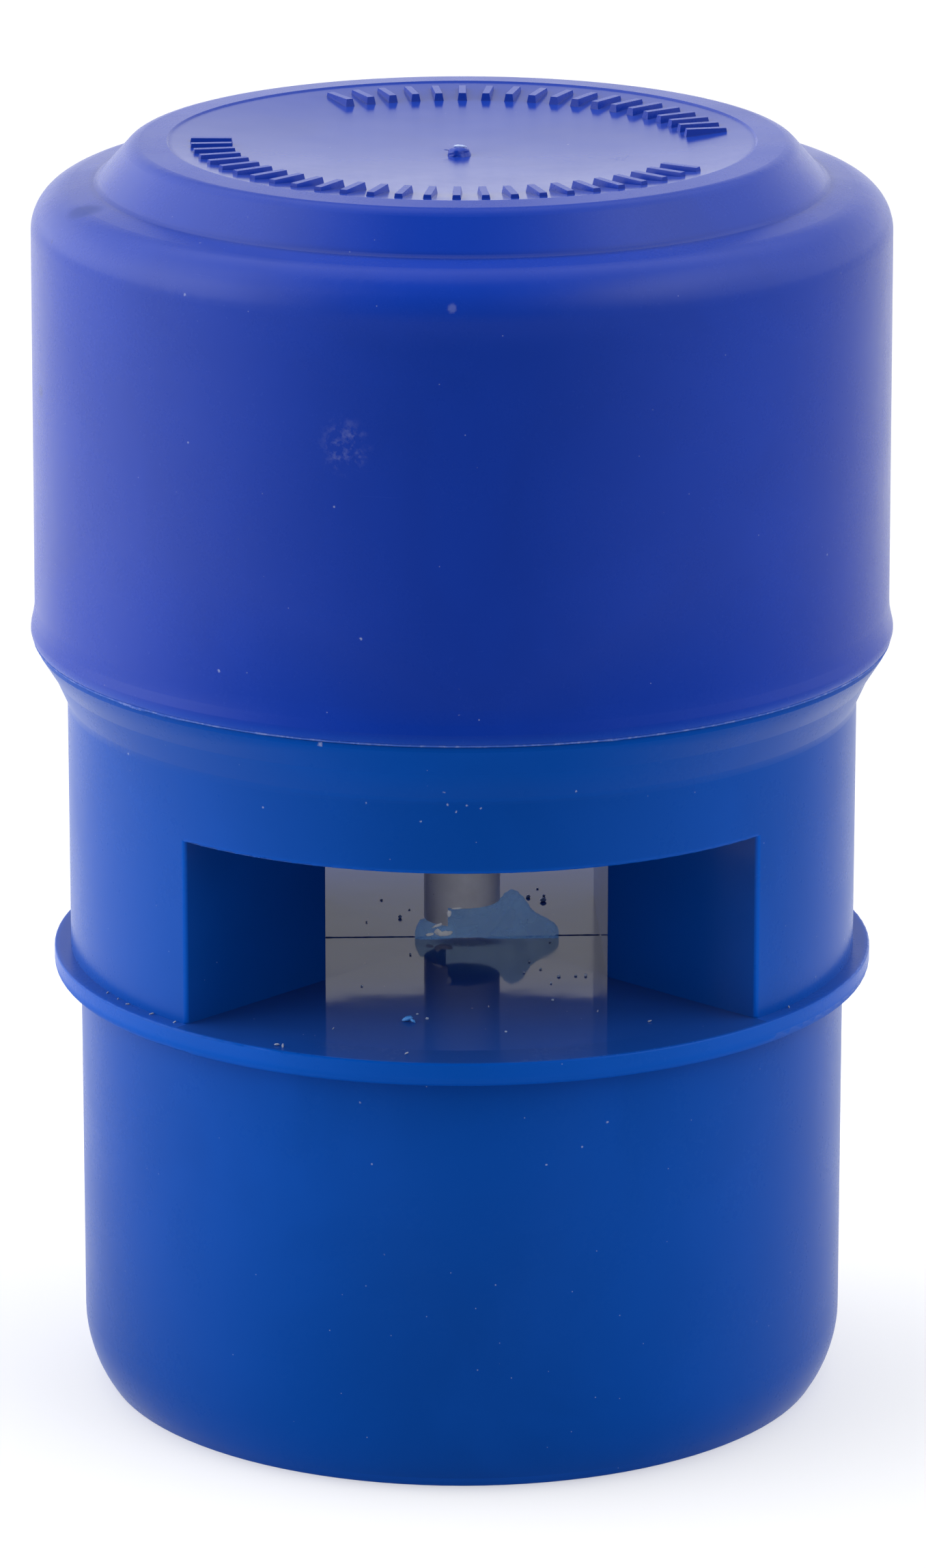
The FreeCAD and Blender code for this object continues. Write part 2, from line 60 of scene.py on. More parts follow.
# ------------------------------------------------------------------ node helpers
class Shader:
    """A node tree with short calls for the nodes that these materials use."""

    def __init__(self, tree):
        self.tree = tree
        tree.nodes.clear()

    def add(self, kind, **props):
        n = self.tree.nodes.new(kind)
        for key, value in props.items():
            setattr(n, key, value)
        return n

    def put(self, socket, value):
        if isinstance(value, bpy.types.NodeSocket):
            self.tree.links.new(value, socket)
        else:
            socket.default_value = value

    def math(self, op, a, b=0.0, c=0.0, clamp=False):
        n = self.add("ShaderNodeMath", operation=op, use_clamp=clamp)
        for i, v in enumerate((a, b, c)):
            self.put(n.inputs[i], v)
        return n.outputs[0]

    def mul(self, *values):
        out = values[0]
        for v in values[1:]:
            out = self.math("MULTIPLY", out, v)
        return out

    def plus(self, *values):
        out = values[0]
        for v in values[1:]:
            out = self.math("ADD", out, v)
        return out

    def less(self, a, b):
        return self.math("LESS_THAN", a, b)

    def more(self, a, b):
        return self.math("GREATER_THAN", a, b)

    def smooth(self, value, low, high, a=0.0, b=1.0):
        n = self.add("ShaderNodeMapRange", interpolation_type="SMOOTHSTEP")
        self.put(n.inputs["Value"], value)
        for key, v in (("From Min", low), ("From Max", high), ("To Min", a), ("To Max", b)):
            n.inputs[key].default_value = v
        return n.outputs["Result"]

    def line(self, value, low, high):
        n = self.add("ShaderNodeMapRange", interpolation_type="LINEAR")
        self.put(n.inputs["Value"], value)
        n.inputs["From Min"].default_value = low
        n.inputs["From Max"].default_value = high
        return n.outputs["Result"]

    def vec(self, op, a, b=None, scale=None):
        n = self.add("ShaderNodeVectorMath", operation=op)
        self.put(n.inputs[0], a)
        if b is not None:
            self.put(n.inputs[1], b)
        if scale is not None:
            self.put(n.inputs["Scale"], scale)
        return n.outputs["Value"] if op in ("LENGTH", "DISTANCE", "DOT_PRODUCT") else n.outputs["Vector"]

    def split(self, vector):
        n = self.add("ShaderNodeSeparateXYZ")
        self.put(n.inputs[0], vector)
        return n.outputs[0], n.outputs[1], n.outputs[2]

    def join(self, x, y, z):
        n = self.add("ShaderNodeCombineXYZ")
        for i, v in enumerate((x, y, z)):
            self.put(n.inputs[i], v)
        return n.outputs[0]

    def noise(self, vector, scale, detail=2.0, rough=0.5, distortion=0.0):
        n = self.add("ShaderNodeTexNoise")
        self.put(n.inputs["Vector"], vector)
        n.inputs["Scale"].default_value = scale
        n.inputs["Detail"].default_value = detail
        n.inputs["Roughness"].default_value = rough
        n.inputs["Distortion"].default_value = distortion
        return n.outputs[0]

    def wobble(self, vector, scale):
        n = self.add("ShaderNodeTexNoise")
        self.put(n.inputs["Vector"], vector)
        n.inputs["Scale"].default_value = scale
        return n.outputs["Color"]

    def cells(self, vector, scale, feature="F1"):
        n = self.add("ShaderNodeTexVoronoi", feature=feature)
        self.put(n.inputs["Vector"], vector)
        n.inputs["Scale"].default_value = scale
        return n

    def mix(self, factor, a, b):
        n = self.add("ShaderNodeMix", data_type="RGBA")
        self.put(n.inputs[0], factor)
        for socket, v in ((n.inputs[6], a), (n.inputs[7], b)):
            self.put(socket, v if isinstance(v, bpy.types.NodeSocket) else (*v, 1.0))
        return n.outputs[2]

    def ramp(self, factor, stops, interpolation="LINEAR"):
        n = self.add("ShaderNodeValToRGB")
        n.color_ramp.interpolation = interpolation
        els = n.color_ramp.elements
        els[0].position, els[0].color = stops[0][0], (*stops[0][1], 1.0)
        els[1].position, els[1].color = stops[-1][0], (*stops[-1][1], 1.0)
        for position, colour in stops[1:-1]:
            e = els.new(position)
            e.color = (*colour, 1.0)
        self.put(n.inputs[0], factor)
        return n.outputs[0]

    def bump(self, height, distance, strength=1.0, normal=None):
        n = self.add("ShaderNodeBump")
        n.inputs["Strength"].default_value = strength
        n.inputs["Distance"].default_value = distance
        self.put(n.inputs["Height"], height)
        if normal is not None:
            self.put(n.inputs["Normal"], normal)
        return n.outputs[0]

    def place(self):
        """Object coordinates in millimetres, and their radius from the axis."""
        c = self.add("ShaderNodeTexCoord")
        p = self.vec("SCALE", c.outputs["Object"], scale=1000.0)
        x, y, z = self.split(p)
        r = self.math("SQRT", self.plus(self.mul(x, x), self.mul(y, y)))
        return p, x, y, z, r

    def blob(self, p, centre, size):
        """1 in the middle of an ellipsoid round centre, 0 at its surface."""
        d = self.vec("SUBTRACT", p, centre)
        d = self.vec("DIVIDE", d, size)
        return self.smooth(self.vec("LENGTH", d), 0.35, 1.0, 1.0, 0.0)

    def specks(self, p, scale, size, share):
        """Scattered round specks: cells of 1/scale mm, specks of that size, in a share of the cells."""
        v = self.cells(p, scale)
        near = self.smooth(v.outputs["Distance"], size * scale * 0.6, size * scale, 1.0, 0.0)
        r, g, b = self.split(v.outputs["Color"])
        return self.mul(near, self.less(r, share))


def material(name):
    m = bpy.data.materials.new(name)
    m.use_nodes = True
    s = Shader(m.node_tree)
    out = s.add("ShaderNodeOutputMaterial")
    b = s.add("ShaderNodeBsdfPrincipled")
    s.tree.links.new(b.outputs["BSDF"], out.inputs["Surface"])
    return m, s, b


def blend(s, a, b, share):
    """Surface a, with that share of surface b."""
    out = next(n for n in s.tree.nodes if n.type == "OUTPUT_MATERIAL")
    both = s.add("ShaderNodeMixShader")
    s.put(both.inputs[0], share)
    s.tree.links.new(a, both.inputs[1])
    s.tree.links.new(b, both.inputs[2])
    s.tree.links.new(both.outputs[0], out.inputs["Surface"])


def dress(obj, mat):
    obj.data.materials.clear()
    obj.data.materials.append(mat)


# ------------------------------------------------------------------ floor and light
def make_floor():
    mesh = bpy.data.meshes.new("floor")
    h = 4.0
    mesh.from_pydata([(-h, -h, -2e-5), (h, -h, -2e-5), (h, h, -2e-5), (-h, h, -2e-5)], [], [(0, 1, 2, 3)])
    obj = bpy.data.objects.new("floor", mesh)
    scene.collection.objects.link(obj)
    m, s, b = material("floor_painted_glow")
    p, x, y, z, r = s.place()
    # painted light: the floor glows, its glow and colour painted brightest round the object and behind it and darker
    # out in front, as if shaded
    side = s.math("ARCTAN2", x, s.mul(y, -1.0))
    t = s.plus(s.mul(side, 1.0 / (2 * math.pi)), 0.5)
    far = s.ramp(t, [(a / 360.0 + 0.5, (v, v, v)) for a, v in FLOOR_FAR])
    front = s.smooth(s.math("ABSOLUTE", side), 0.7, 1.3, 1.0, 0.0)
    reach = s.mix(front, s.smooth(r, 75.0, 150.0), s.smooth(r, 44.0, 120.0))
    tint = s.noise(p, 0.02, 3.0)
    near = s.mix(tint, (0.985, 0.985, 0.985), (1.0, 1.0, 1.0))
    shade = s.mix(reach, near, far)
    base = s.mix(0.0, s.vec("SCALE", shade, scale=FLOOR_ALBEDO), (1, 1, 1))
    s.put(b.inputs["Base Color"], base)
    s.put(b.inputs["Emission Color"], shade)
    b.inputs["Emission Strength"].default_value = FLOOR_GLOW
    b.inputs["Roughness"].default_value = 0.7
    b.inputs["Specular IOR Level"].default_value = 0.1
    grain = s.noise(p, 1.5, 4.0)
    s.put(b.inputs["Normal"], s.bump(grain, 2e-5, 0.3))
    dress(obj, m)


FLOOR_ALBEDO = 0.62
FLOOR_GLOW = 0.37
# painted light and shade: brightness of the far floor's glow and colour by bearing, 0 towards the viewer, + to the
# right
FLOOR_FAR = [(-180, 0.88), (-157, 0.9), (-123, 1.0), (-103, 1.35), (-86, 1.3), (-73, 1.12), (-60, 0.85), (-46, 0.66), (-34, 0.58),
             (-23, 0.54), (0, 0.52), (23, 0.52), (46, 0.53), (72, 0.54), (103, 0.62), (123, 0.72), (157, 0.86), (180, 0.88)]
# the studio round the object: brightness by bearing at rising heights above the horizon
STUDIO = [
    (0, [(-180, 1.25), (-157, 1.4), (-124, 2.3), (-103, 2.8), (-86, 3.0), (-73, 2.8), (-60, 1.9), (-49, 1.0), (-34, 0.45), (-23, 0.3),
         (0, 0.25), (20, 0.35), (34, 0.55), (44, 0.75), (58, 1.0), (69, 1.15), (86, 1.4), (103, 1.5), (124, 1.4), (157, 1.3), (180, 1.25)]),
    (14, [(-180, 1.0), (-157, 1.25), (-124, 2.6), (-103, 3.5), (-86, 3.9), (-73, 3.6), (-60, 2.4), (-49, 1.3), (-34, 0.45), (-23, 0.25),
          (0, 0.25), (20, 0.45), (34, 0.9), (44, 1.45), (58, 1.75), (69, 1.65), (86, 1.7), (103, 1.6), (124, 1.4), (157, 1.1), (180, 1.0)]),
    (20, [(-180, 1.0), (-157, 1.25), (-124, 2.6), (-103, 3.6), (-86, 3.9), (-73, 3.6), (-60, 2.5), (-49, 1.5), (-34, 0.45), (-23, 0.22),
          (0, 0.22), (20, 0.5), (34, 1.2), (44, 1.9), (58, 2.1), (69, 1.8), (86, 1.8), (103, 1.7), (124, 1.4), (157, 1.1), (180, 1.0)]),
    (29, [(-180, 0.17), (-172, 0.28), (-157, 0.9), (-124, 2.4), (-97, 3.6), (-80, 4.0), (-66, 3.0), (-54, 1.8), (-40, 0.6), (-26, 0.18),
          (0, 0.18), (24, 0.75), (36, 1.7), (50, 2.8), (62, 2.8), (76, 2.1), (93, 2.0), (119, 1.3), (150, 0.75), (172, 0.22), (180, 0.17)]),
    (34, [(-180, 0.17), (-172, 0.35), (-157, 1.0), (-124, 2.3), (-97, 3.5), (-80, 3.8), (-66, 2.8), (-54, 1.8), (-40, 0.6), (-26, 0.18),
          (0, 0.18), (24, 0.75), (36, 1.7), (50, 3.1), (62, 2.9), (76, 2.2), (93, 2.1), (119, 1.3), (150, 0.9), (172, 0.3), (180, 0.17)]),
    (47, [(-180, 1.1), (-157, 1.6), (-129, 2.0), (-97, 3.0), (-73, 2.2), (-54, 1.8), (-38, 0.6), (-26, 0.16), (0, 0.14), (24, 0.75),
          (36, 1.3), (50, 3.1), (69, 3.1), (93, 2.2), (125, 1.4), (153, 1.4), (180, 1.1)]),
    (58, [(-180, 1.45), (-160, 1.45), (-122, 1.8), (-98, 2.6), (-73, 1.7), (-54, 1.1), (-38, 0.5), (0, 0.16), (36, 0.78), (62, 2.2),
          (69, 2.8), (95, 2.5), (118, 1.4), (156, 1.4), (180, 1.45)]),
    (72, [(-180, 1.4), (-122, 1.6), (-64, 0.4), (-38, 0.2), (0, 0.1), (36, 0.5), (62, 1.0), (117, 1.2), (180, 1.4)]),
    (85, [(-180, 1.25), (-90, 0.7), (0, 0.3), (90, 0.7), (180, 1.25)]),
]


def make_light():
    world = bpy.data.worlds.new("studio")
    scene.world = world
    world.use_nodes = True
    s = Shader(world.node_tree)
    out = s.add("ShaderNodeOutputWorld")
    back = s.add("ShaderNodeBackground")
    s.tree.links.new(back.outputs[0], out.inputs[0])
    c = s.add("ShaderNodeTexCoord")
    x, y, z = s.split(c.outputs["Generated"])
    side = s.math("ARCTAN2", x, s.mul(y, -1.0))
    t = s.plus(s.mul(side, 1.0 / (2 * math.pi)), 0.5)
    light = None
    for (low, _), (high, row) in zip(STUDIO[:1] + STUDIO, STUDIO):
        ring = s.ramp(t, [(a / 360.0 + 0.5, (v * 0.25, v * 0.25, v * 0.25)) for a, v in row])
        if light is None:
            light = ring
        else:
            rise = s.line(z, math.sin(math.radians(low)), math.sin(math.radians(high)))
            light = s.mix(rise, light, ring)
    s.put(back.inputs["Color"], light)
    back.inputs["Strength"].default_value = 4.0


make_floor()
make_light()


# ------------------------------------------------------------------ materials
BODY_BLUE = (0.0004, 0.0585, 0.348)
CAP_BLUE = (0.002, 0.033, 0.333)


# pale flecks of dust: place in mm, radius
CAP_FLECKS = [(-16.73, -17.84, 80.04, 0.13), (-17.71, -21.09, 77.46, 0.10), (-1.5, -27.4, 77.9, 0.36), (12.14, -20.83, 80.1, 0.12),
              (-15.83, -22.71, 53.93, 0.14), (-7.1, -26.7, 57.0, 0.09), (-1.1, -27.6, 54.0, 0.09), (-1.1, -27.6, 52.35, 0.08),
              (-5.7, -27.0, 51.9, 0.08), (-14.1, -23.8, 54.1, 0.07)]
BODY_FLECKS = [(-9.62, -25.87, 50.04, 0.20), (-1.98, -25.81, 46.89, 0.11), (-1.74, -25.59, 45.98, 0.09), (-1.2, -25.62, 45.53, 0.09),
               (-0.57, -25.64, 45.94, 0.09), (0.3, -25.65, 45.73, 0.09), (-6.77, -24.74, 45.89, 0.10), (-3.41, -25.42, 44.86, 0.09),
               (6.24, -25.0, 46.63, 0.10), (-21.59, -13.84, 46.07, 0.11), (-7.2, -23.95, 26.0, 0.10), (4.5, -24.6, 22.0, 0.09),
               (8.4, -23.55, 24.4, 0.09), (-5.7, -24.3, 16.0, 0.09), (1.3, -25.0, 14.1, 0.09)]


def blue_plastic(name, colour, rough, gloss, is_cap):
    m, s, b = material(name)
    p, x, y, z, r = s.place()
    # slow drift of the pigment, and streaks along the flow of the melt
    drift = s.noise(p, 0.07, 3.0, 0.55, 0.6)
    flow = s.noise(s.join(s.mul(x, 0.5), s.mul(y, 0.5), s.mul(z, 0.06)), 0.9, 3.0)
    deep = tuple(c * 0.955 for c in colour)
    pale = tuple(c * 1.045 + 0.0005 for c in colour)
    tone = s.mix(s.smooth(drift, 0.3, 0.7), deep, pale)
    tone = s.mix(s.mul(s.smooth(flow, 0.52, 0.75), 0.18), tone, pale)
    # dust specks, fine and coarse
    dust = s.math("MAXIMUM", s.specks(p, 0.45, 0.085, 0.10), s.specks(p, 1.3, 0.045, 0.12))
    grain = s.noise(p, 9.0, 2.0)
    fine = s.noise(p, 2.2, 4.0, 0.6)
    wave = s.noise(p, 0.16, 2.0)
    # hairline scratches round the part
    lines = s.noise(s.join(s.mul(r, 0.3), s.mul(s.math("ARCTAN2", x, y), 1.4), s.mul(z, 9.0)), 1.0, 3.0, 0.6)
    scratch = s.mul(s.smooth(lines, 0.66, 0.72), s.smooth(s.noise(p, 0.22), 0.5, 0.62))
    roughness = s.plus(rough, s.mul(s.math("SUBTRACT", fine, 0.5), 0.06 if is_cap else 0.05), s.mul(s.math("SUBTRACT", wave, 0.5), 0.10),
                       s.mul(scratch, 0.03))
    haze = s.mul(dust, 0.25)
    ragged = s.vec("ADD", p, s.vec("SCALE", s.vec("SUBTRACT", s.wobble(p, 6.0), (0.5, 0.5, 0.5)), scale=0.22))
    for fx, fy, fz, fr in (CAP_FLECKS if is_cap else BODY_FLECKS):
        haze = s.math("MAXIMUM", haze, s.mul(s.blob(ragged, (fx, fy, fz), (fr, fr, fr)), 0.30 if fr < 0.3 else 0.10))
    # painted shade: the front of the cap's wall and of the body below is darkened and its reflections dimmed
    front_shade = s.mul(s.smooth(s.math("DIVIDE", s.math("ABSOLUTE", x), s.math("MAXIMUM", r, 0.1)), 0.0, 0.62, 1.0, 0.0), s.less(y, 0.0),
                 s.more(r, 24.0), s.smooth(z, 75.0, 79.0, 1.0, 0.0))
    front = s.smooth(s.math("DIVIDE", s.math("ABSOLUTE", x), s.math("MAXIMUM", r, 0.1)), 0.35, 0.9, 1.0, 0.25)
    if is_cap:
        # rubbed patch, oval smudge on the shoulder, small knocks on the side
        patch = s.mul(s.blob(p, (-8.0, -26.4, 69.1), (1.9, 2.4, 2.2)), s.smooth(s.noise(p, 1.6, 4.0, 0.7), 0.46, 0.70))
        smudge = s.blob(p, (-24.13, -7.74, 79.87), (1.75, 1.75, 0.75))
        knock = s.math("MAXIMUM", s.blob(p, (-26.95, -6.0, 67.8), (0.8, 0.8, 0.55)),
                       s.blob(p, (-27.1, -5.3, 65.6), (0.8, 0.5, 0.3)))
        haze = s.math("MAXIMUM", haze, s.mul(patch, 0.09))
        knock = s.math("MAXIMUM", knock, s.blob(p, (-26.07, -8.44, 78.04), (0.2, 0.2, 0.2)))
        tone = s.mix(s.mul(knock, 0.55), tone, tuple(c * 0.55 for c in colour))
        tone = s.mix(s.mul(smudge, 0.4), tone, (0.006, 0.028, 0.17))
        # painted shade: the corner at the foot of the boss is darker, more so at the front
        nook_shade = s.mul(s.smooth(s.math("ABSOLUTE", s.math("SUBTRACT", r, 23.5)), 0.08, 0.5, 1.0, 0.0), s.more(z, 79.5), s.less(z, 80.7))
        tone = s.mix(s.mul(nook_shade, s.smooth(s.math("ABSOLUTE", x), 6.0, 19.0, 0.52, 0.18)), tone, (0.0, 0.014, 0.15))
        # the dished top is polished, the rim and the wall are satin
        bowl = s.math("SUBTRACT", z, s.plus(81.66, s.mul(r, r, 1.0 / 357.6)))
        dish = s.mul(s.smooth(r, 18.4, 18.75, 1.0, 0.0), s.smooth(s.math("ABSOLUTE", bowl), 0.04, 0.07, 1.0, 0.0))
        tone = s.mix(s.mul(dish, 0.05), tone, (0.17, 0.18, 0.22))
        roughness = s.plus(roughness, s.mul(patch, 0.12), s.mul(smudge, 0.10), s.mul(dish, -0.08))
        # painted light: the bead's lower part, which faces down into shade, is painted a brighter blue
        bead_light = s.mul(s.smooth(z, 50.4, 51.2, 1.0, 0.0), s.more(r, 27.5))
        tone = s.mix(s.mul(bead_light, 0.18), tone, (0.01, 0.13, 0.62))
        # painted shade on the reflections: they are dimmed on the cap's lower front, its front and the shoulder's front
        reflection_shade = s.mul(s.smooth(z, 50.4, 62.0, 0.75, 0.0), front)
        reflection_shade = s.math("MAXIMUM", reflection_shade, s.mul(front_shade, 0.65))
        crown = s.mul(s.smooth(s.math("DIVIDE", s.math("ABSOLUTE", x), s.math("MAXIMUM", r, 0.1)), 0.0, 0.6, 1.0, 0.0), s.less(y, 0.0),
                      s.more(r, 18.9), s.more(z, 75.0))
        reflection_shade = s.math("MAXIMUM", reflection_shade, s.mul(crown, 0.42))
        # painted shade: the front is darkened
        tone = s.mix(s.mul(front_shade, 0.16), tone, (0.0, 0.0, 0.0))
    else:
        # the inlet channel is shaped by polished cores, its floor the glossiest; painted shade darkens the channel's
        # inside and, a little, its floor
        channel_polish_and_shade = s.mul(s.less(r, 25.35), s.more(z, 29.2), s.less(z, 41.7))
        floor = s.mul(s.less(r, 26.55), s.more(z, 29.2), s.less(z, 29.5), s.less(s.math("ABSOLUTE", x), s.math("ABSOLUTE", y)))
        channel_polish_and_shade = s.math("MAXIMUM", channel_polish_and_shade, floor)
        roughness = s.math("SUBTRACT", roughness, s.mul(channel_polish_and_shade, 0.14))
        roughness = s.math("SUBTRACT", roughness, s.mul(floor, 0.08))
        tone = s.mix(s.plus(s.mul(channel_polish_and_shade, 0.20), s.mul(floor, 0.04)), tone, (0.0, 0.0, 0.0))
        # painted shade: the spigot is painted darker towards its lower end, against the light the bright floor throws
        # on it
        spigot_shade = s.plus(s.mul(s.less(z, 27.6), 0.05), s.smooth(z, 0.0, 25.0, 0.17, 0.0))
        tone = s.mix(spigot_shade, tone, (0.0, 0.0, 0.0))
        # painted light: the flange's rim and the window's rounded edges are painted a brighter blue, for the light that
        # the thin edges catch and let through
        off = s.math("ABSOLUTE", s.math("SUBTRACT", s.math("ABSOLUTE", x), s.math("ABSOLUTE", y)))
        jamb = s.mul(s.smooth(r, 25.25, 25.55), s.smooth(off, 0.05, 0.38, 1.0, 0.0), s.more(z, 29.5), s.less(z, 41.55))
        lintel = s.mul(s.more(r, 25.3), s.less(s.math("ABSOLUTE", x), s.math("ABSOLUTE", y)),
                       s.smooth(s.math("ABSOLUTE", s.math("SUBTRACT", z, 41.5)), 0.05, 0.3, 1.0, 0.0))
        brim = s.mul(s.smooth(r, 26.3, 26.6), s.more(z, 27.8), s.less(z, 29.6))
        thin = s.math("MAXIMUM", s.mul(jamb, 0.42), s.math("MAXIMUM", s.mul(lintel, 0.20), s.mul(brim, 0.16)))
        tone = s.mix(thin, tone, (0.0, 0.14, 0.78))
        # painted light: the cone under the cap is painted a brighter blue, most at its top and its front
        cone = s.mul(s.more(r, 25.67), s.smooth(z, 46.0, 48.8, 0.7, 1.0), s.less(z, 50.3), s.more(z, 45.9))
        ahead = s.smooth(s.math("DIVIDE", s.math("ABSOLUTE", x), s.math("MAXIMUM", r, 0.1)), 0.15, 0.75, 1.0, 0.0)
        tone = s.mix(s.mul(cone, ahead, 0.09), tone, (0.0, 0.14, 0.78))
        cone = s.mul(cone, s.math("MAXIMUM", ahead, s.smooth(z, 48.6, 49.9)))
        below = s.mul(s.more(r, 25.02), s.more(z, 27.6), s.smooth(z, 28.2, 28.8, 1.0, 0.0))
        foot = s.smooth(z, 2.0, 25.0, 0.92, 0.55)
        foot = s.mul(foot, s.less(z, 27.6))
        # painted shade on the reflections: they are dimmed on the cone, the spigot's front, the flange's underside and
        # the front
        reflection_shade = s.math("MAXIMUM", s.mul(s.math("MAXIMUM", cone, foot), front), s.mul(below, 0.9))
        reflection_shade = s.math("MAXIMUM", reflection_shade, s.mul(front_shade, 0.8))
        # painted shadow: a strip of the channel floor at the foot of the torn film is kept dark by dimming its
        # reflections
        reflection_shade = s.math("MAXIMUM", reflection_shade, s.mul(s.blob(p, (0.4, -1.3, 29.4), (3.0, 1.4, 0.5)), 1.0))
        # painted shade: the front is darkened
        tone = s.mix(s.mul(front_shade, 0.16), tone, (0.0, 0.0, 0.0))
    tone = s.mix(haze, tone, (0.62, 0.66, 0.78))
    s.put(b.inputs["Base Color"], tone)
    s.put(b.inputs["Roughness"], s.math("MAXIMUM", roughness, 0.05))
    b.inputs["IOR"].default_value = 1.49
    b.inputs["Specular IOR Level"].default_value = gloss
    b.inputs["Sheen Weight"].default_value = 0.0 if is_cap else 0.05
    b.inputs["Sheen Roughness"].default_value = 0.3
    n = s.bump(wave, 1.2e-4, 0.25 if is_cap else 0.15)
    n = s.bump(grain, 6e-6, 0.10 if is_cap else 0.03, n)
    n = s.bump(s.math("ADD", dust, s.mul(scratch, -0.05)), 1e-5, 0.07 if is_cap else 0.03, n)
    s.put(b.inputs["Normal"], n)
    # painted shade on the reflections: a copy of the same blue with little reflection, mixed in where the surface faces
    # the viewer or looks down
    d = s.add("ShaderNodeBsdfPrincipled")
    s.put(d.inputs["Base Color"], tone)
    s.put(d.inputs["Roughness"], s.plus(roughness, 0.2))
    d.inputs["IOR"].default_value = 1.49
    d.inputs["Specular IOR Level"].default_value = 0.02
    s.put(d.inputs["Normal"], n)
    blend(s, b.outputs["BSDF"], d.outputs["BSDF"], reflection_shade)
    return m


def simple(name, dark, light, rough, scale, bump_scale, bump, metal=0.0, spots=None):
    """A material with mottled tone, varied roughness, fine bump and optional specks."""
    m, s, b = material(name)
    p, x, y, z, r = s.place()
    big = s.noise(p, scale, 4.0, 0.6)
    fine = s.noise(p, bump_scale, 3.0, 0.6)
    tone = s.mix(s.smooth(big, 0.32, 0.68), dark, light)
    if spots:
        tone = s.mix(s.mul(s.specks(p, 1.4, 0.07, 0.3), 0.6), tone, spots)
    s.put(b.inputs["Base Color"], tone)
    s.put(b.inputs["Roughness"], s.plus(rough - 0.06, s.mul(big, 0.12)))
    b.inputs["Metallic"].default_value = metal
    s.put(b.inputs["Normal"], s.bump(fine, bump, 0.5, s.bump(big, bump * 3, 0.3)))
    return m


MATS = {
    "valve_body": blue_plastic("body_blue", BODY_BLUE, 0.28, 0.09, False),
    "cap": blue_plastic("cap_blue", CAP_BLUE, 0.27, 0.25, True),
    "stem_tube": simple("tube_grey", (0.74, 0.73, 0.74), (0.83, 0.82, 0.83), 0.42, 0.5, 6.0, 1e-5, spots=(0.25, 0.25, 0.27)),
    "cap_seal_ring": simple("seal_black", (0.012, 0.012, 0.013), (0.022, 0.022, 0.024), 0.45, 0.8, 7.0, 1.5e-5, spots=(0.2, 0.2, 0.2)),
    "valve_plate": simple("plate_white", (0.66, 0.66, 0.62), (0.74, 0.74, 0.71), 0.40, 0.25, 5.0, 1.2e-5, spots=(0.45, 0.43, 0.4)),
    "seal_membrane": simple("membrane_black", (0.014, 0.014, 0.016), (0.026, 0.026, 0.029), 0.55, 0.6, 6.0, 2e-5, spots=(0.22, 0.22, 0.22)),
    "clamp_washer": simple("washer_white", (0.60, 0.60, 0.57), (0.70, 0.70, 0.67), 0.40, 0.4, 5.0, 1.2e-5, spots=(0.4, 0.38, 0.35)),
    "retaining_clip": simple("clip_steel", (0.50, 0.50, 0.52), (0.66, 0.66, 0.68), 0.28, 1.1, 9.0, 1e-5, metal=1.0, spots=(0.3, 0.26, 0.22)),
}
for node, mat in MATS.items():
    dress(NODES[node], mat)


# ------------------------------------------------------------------ torn flash on the channel floor
def curve(points, x):
    """Smooth height through the points at x."""
    if x <= points[0][0]:
        return points[0][1]
    for (x0, y0), (x1, y1) in zip(points, points[1:]):
        if x <= x1:
            t = (x - x0) / (x1 - x0)
            t = t * t * (3 - 2 * t) * 0.5 + t * 0.5
            return y0 + (y1 - y0) * t
    return points[-1][1]


def new_piece(name, bm, body, mat, smooth=True):
    mesh = bpy.data.meshes.new(name)
    bmesh.ops.recalc_face_normals(bm, faces=bm.faces[:])
    bm.to_mesh(mesh)
    bm.free()
    if smooth:
        mesh.polygons.foreach_set("use_smooth", [True] * len(mesh.polygons))
    obj = bpy.data.objects.new(name, mesh)
    scene.collection.objects.link(obj)
    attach(obj, body)
    dress(obj, mat)
    return obj


FLOOR_Z = 29.40
TOP = [(-3.1, 0.45), (-2.98, 0.85), (-2.75, 1.25), (-2.55, 1.32), (-2.1, 1.30), (-1.75, 1.34), (-1.3, 1.9), (-0.95, 2.3),
       (0.0, 2.45), (1.5, 2.5), (2.3, 2.55), (2.6, 2.75), (2.85, 3.08), (3.2, 3.26), (3.6, 3.16), (3.95, 2.86), (4.26, 2.40),
       (4.52, 1.97), (4.92, 1.63), (5.45, 1.36), (5.95, 1.08), (6.22, 0.82), (6.34, 0.5)]


def see_through(s, b, share, tint):
    """Lets that share of the light straight through the surface, tinted."""
    clear = s.add("ShaderNodeBsdfTransparent")
    clear.inputs["Color"].default_value = (*tint, 1.0)
    blend(s, b.outputs["BSDF"], clear.outputs[0], share)


